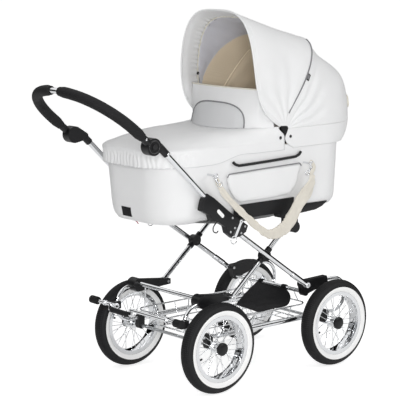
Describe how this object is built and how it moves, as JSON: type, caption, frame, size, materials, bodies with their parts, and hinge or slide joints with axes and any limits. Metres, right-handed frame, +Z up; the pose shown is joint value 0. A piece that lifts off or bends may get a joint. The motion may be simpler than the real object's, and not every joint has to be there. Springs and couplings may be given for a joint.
{
  "type": "bassinet pram",
  "caption": "Pram with a padded bassinet, folding hood and windshield flap on a crossed tube frame with C-springs, spoked air-tyre wheels, wire basket, foot brake and swivel push bow.",
  "frame": {"origin": "middle of the footprint at floor level, under the tyres", "axes": "+X towards the hood end, +Y to the far side, +Z up; the push bow is at -X"},
  "size_m": [1.2675, 0.542, 1.2999],
  "materials": {
    "tyre_rubber": "matte black air tyre",
    "chrome_plate": "polished chrome plate",
    "plain_steel": "plain drawn steel",
    "black_plastic": "fine-grained moulded black",
    "black_button": "smooth moulded black",
    "black_foam": "soft foam rubber",
    "black_cloth": "plain weave black cloth",
    "white_leatherette": "white grained leatherette",
    "beige_cloth": "soft beige lining cloth",
    "cream_webbing": "padded cream webbing"
  },
  "bodies": {
    "undercarriage": {"c_springs": "chrome_plate", "axles": "plain_steel", "axle_clamps": "black_plastic", "rear_blocks": "black_plastic", "front_blocks": "black_plastic", "cross_tubes": "chrome_plate", "pivot_pins": "plain_steel", "brake_clips": "black_plastic", "basket_frame": "chrome_plate", "basket_cover": "black_cloth"},
    "rear_leg_pair": {"rear_legs": "chrome_plate", "lock_brackets": "black_plastic"},
    "front_leg_pair": {"front_legs": "chrome_plate", "crossing_blocks": "black_plastic", "cot_clamps": "black_plastic"},
    "handle": {"handle_tubes": "chrome_plate", "joint_housings": "black_plastic"},
    "bow": {"push_bow": "chrome_plate", "grip_left": "black_foam", "grip_right": "black_foam", "swivel_knobs": "black_plastic"},
    "bow_button_left": {"button_left": "black_button"},
    "bow_button_right": {"button_right": "black_button"},
    "wire_latch_left": {"latch_left": "chrome_plate"},
    "wire_latch_right": {"latch_right": "chrome_plate"},
    "brake": {"brake_bar": "chrome_plate", "brake_pedal": "black_foam", "brake_stops": "black_foam"},
    "bassinet": {"cot_base": "black_plastic", "cot_tub": "white_leatherette", "mattress": "beige_cloth", "apron": "white_leatherette", "side_pocket": "white_leatherette", "shoulder_strap": "cream_webbing", "strap_hooks": "chrome_plate", "hood_hinges": "black_plastic", "hood_skirt": "white_leatherette", "rear_canopy": "white_leatherette"},
    "hood_middle": {"middle_rib": "plain_steel"},
    "hood_front": {"front_rib": "plain_steel", "front_canopy": "white_leatherette"},
    "windshield": {"windshield_flap": "white_leatherette"},
    "carry_left": {"carry_handle_left": "black_plastic"},
    "carry_right": {"carry_handle_right": "black_plastic"},
    "wheel_front_left": {"tyre_front_left": "tyre_rubber", "rim_front_left": "chrome_plate", "spoked_hub_front_left": "chrome_plate", "hub_cap_front_left": "black_plastic"},
    "wheel_front_right": {"tyre_front_right": "tyre_rubber", "rim_front_right": "chrome_plate", "spoked_hub_front_right": "chrome_plate", "hub_cap_front_right": "black_plastic"},
    "wheel_rear_left": {"tyre_rear_left": "tyre_rubber", "rim_rear_left": "chrome_plate", "spoked_hub_rear_left": "chrome_plate", "hub_cap_rear_left": "black_plastic"},
    "wheel_rear_right": {"tyre_rear_right": "tyre_rubber", "rim_rear_right": "chrome_plate", "spoked_hub_rear_right": "chrome_plate", "hub_cap_rear_right": "black_plastic"}
  },
  "joints": [
    {"name": "spin_front_left", "type": "hinge", "parent": "undercarriage", "child": "wheel_front_left", "pos_m": [0.4434, 0.242, 0.159], "axis": [0, 1, 0], "continuous": true},
    {"name": "spin_front_right", "type": "hinge", "parent": "undercarriage", "child": "wheel_front_right", "pos_m": [0.4434, -0.242, 0.159], "axis": [0, 1, 0], "continuous": true},
    {"name": "spin_rear_left", "type": "hinge", "parent": "undercarriage", "child": "wheel_rear_left", "pos_m": [-0.12259, 0.242, 0.159], "axis": [0, 1, 0], "continuous": true},
    {"name": "spin_rear_right", "type": "hinge", "parent": "undercarriage", "child": "wheel_rear_right", "pos_m": [-0.12259, -0.242, 0.159], "axis": [0, 1, 0], "continuous": true},
    {"name": "brake_swing", "type": "hinge", "parent": "undercarriage", "child": "brake", "pos_m": [-0.2436, 0, 0.25], "axis": [0, 1, 0], "range_deg": [-59, 0]},
    {"name": "frame_fold", "type": "hinge", "parent": "undercarriage", "child": "rear_leg_pair", "pos_m": [0.32741, 0, 0.31], "axis": [0, 1, 0], "range_deg": [-20, 0]},
    {"name": "front_leg_fold", "type": "hinge", "parent": "undercarriage", "child": "front_leg_pair", "pos_m": [-0.0126, 0, 0.31], "axis": [0, 1, 0], "range_deg": [0, 25]},
    {"name": "handle_fold", "type": "hinge", "parent": "rear_leg_pair", "child": "handle", "pos_m": [-0.01503, 0, 0.548], "axis": [0, 1, 0], "range_deg": [0, 12]},
    {"name": "latch_left_swing", "type": "hinge", "parent": "rear_leg_pair", "child": "wire_latch_left", "pos_m": [-0.00703, 0.228, 0.584], "axis": [0, 1, 0], "range_deg": [0, 50]},
    {"name": "latch_right_swing", "type": "hinge", "parent": "rear_leg_pair", "child": "wire_latch_right", "pos_m": [-0.00703, -0.228, 0.584], "axis": [0, 1, 0], "range_deg": [0, 50]},
    {"name": "handle_swivel", "type": "hinge", "parent": "handle", "child": "bow", "pos_m": [-0.3931, 0, 0.87609], "axis": [0, 1, 0], "range_deg": [-70, 70]},
    {"name": "button_left_press", "type": "slide", "parent": "bow", "child": "bow_button_left", "axis": [0, -1, 0], "range_m": [0, 0.003], "stiffness_N_per_m": 800, "springref_m": -0.002},
    {"name": "button_right_press", "type": "slide", "parent": "bow", "child": "bow_button_right", "axis": [0, 1, 0], "range_m": [0, 0.003], "stiffness_N_per_m": 800, "springref_m": -0.002},
    {"name": "bassinet_lift", "type": "slide", "parent": "undercarriage", "child": "bassinet", "axis": [0, 0, 1], "range_m": [0, 0.2]},
    {"name": "hood_middle_fold", "type": "hinge", "parent": "bassinet", "child": "hood_middle", "pos_m": [0.2254, 0, 0.885], "axis": [0, 1, 0], "range_deg": [0, 53], "deforming": ["rear_canopy"]},
    {"name": "hood_front_fold", "type": "hinge", "parent": "hood_middle", "child": "hood_front", "pos_m": [0.2254, 0, 0.885], "axis": [0, 1, 0], "range_deg": [0, 39], "deforming": ["front_canopy"]},
    {"name": "flap_fold", "type": "hinge", "parent": "bassinet", "child": "windshield", "pos_m": [0.04041, 0, 0.8863], "axis": [0, 1, 0], "range_deg": [-105, 0]},
    {"name": "carry_left_swing", "type": "hinge", "parent": "bassinet", "child": "carry_left", "pos_m": [0.1324, 0.2064, 0.801], "axis": [1, 0, 0], "range_deg": [0, 100]},
    {"name": "carry_right_swing", "type": "hinge", "parent": "bassinet", "child": "carry_right", "pos_m": [0.1324, -0.2064, 0.801], "axis": [1, 0, 0], "range_deg": [-100, 0]}
  ],
  "couplings": [
    {"joint": "front_leg_fold", "follows": "frame_fold", "ratio": -1.25},
    {"joint": "hood_front_fold", "follows": "hood_middle_fold", "ratio": 0.7358}
  ]
}
